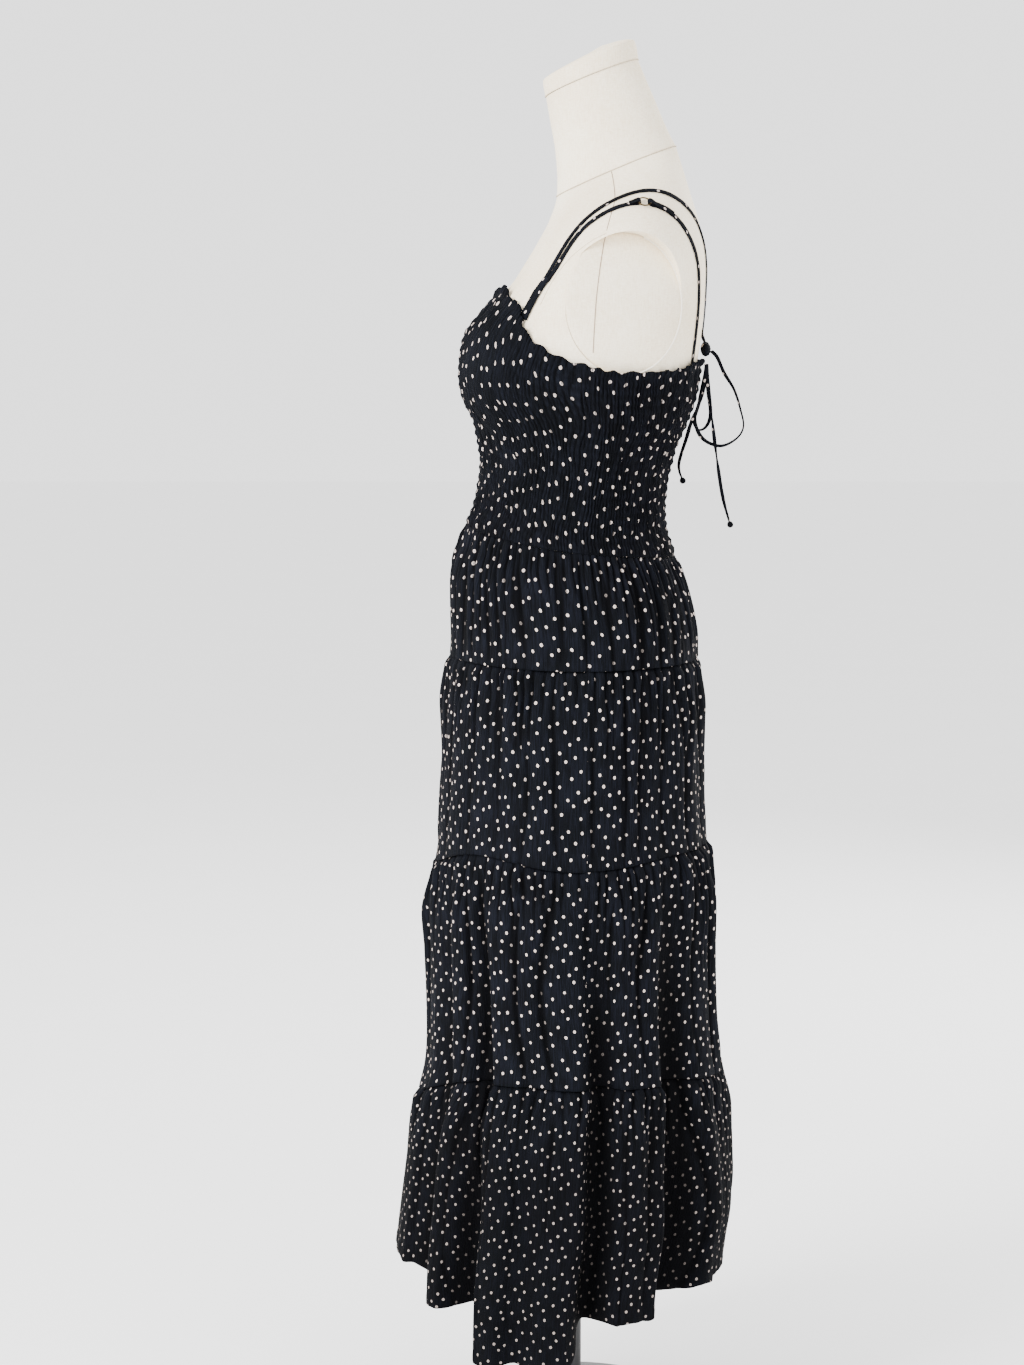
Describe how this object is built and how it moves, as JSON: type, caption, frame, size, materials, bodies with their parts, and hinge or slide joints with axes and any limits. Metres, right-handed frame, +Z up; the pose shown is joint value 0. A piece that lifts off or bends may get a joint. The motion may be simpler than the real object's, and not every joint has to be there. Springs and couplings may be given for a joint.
{
  "type": "smocked maxi dress on a dress form",
  "caption": "Sleeveless dotted maxi dress with a smocked bodice, tiered gathered skirt, ring-adjusted shoulder straps and a tied bow at the back, worn on a limbless dress form with a pole stand.",
  "frame": {"origin": "centre of the stand base's underside, on the floor", "axes": "+Z up along the pole, -Y is the side the wearer faces, +X is the wearer's left"},
  "size_m": [0.4488, 0.3723, 1.4885],
  "materials": {
    "dress_cloth": "matte crinkled viscose, near black with small cream dots",
    "form_linen": "fine cream linen stretched over the form",
    "ring_metal": "polished pale metal",
    "stand_metal": "black painted metal"
  },
  "bodies": {
    "root": {"bodice_front": "dress_cloth", "bodice_back": "dress_cloth", "skirt_tier1_front": "dress_cloth", "skirt_tier1_back": "dress_cloth", "skirt_tier2_front": "dress_cloth", "skirt_tier2_back": "dress_cloth", "skirt_tier3_front": "dress_cloth", "skirt_tier3_back": "dress_cloth", "skirt_tier4_front": "dress_cloth", "skirt_tier4_back": "dress_cloth", "strap_tab_left": "dress_cloth", "strap_tab_right": "dress_cloth", "strap_front_left": "dress_cloth", "strap_front_right": "dress_cloth", "strap_back_left": "dress_cloth", "strap_back_right": "dress_cloth", "strap_ring_left": "ring_metal", "strap_ring_right": "ring_metal", "tie_strap_left": "dress_cloth", "tie_strap_right": "dress_cloth", "bow_knot": "dress_cloth", "bow_loop_left": "dress_cloth", "bow_loop_right": "dress_cloth", "tie_end_long": "dress_cloth", "tie_end_short": "dress_cloth", "tie_tip_long": "dress_cloth", "tie_tip_short": "dress_cloth", "form_torso": "form_linen", "form_neck": "form_linen", "form_neck_cap": "form_linen", "form_arm_plate_left": "form_linen", "form_arm_plate_right": "form_linen", "stand_pole": "stand_metal", "stand_base": "stand_metal"}
  },
  "joints": []
}
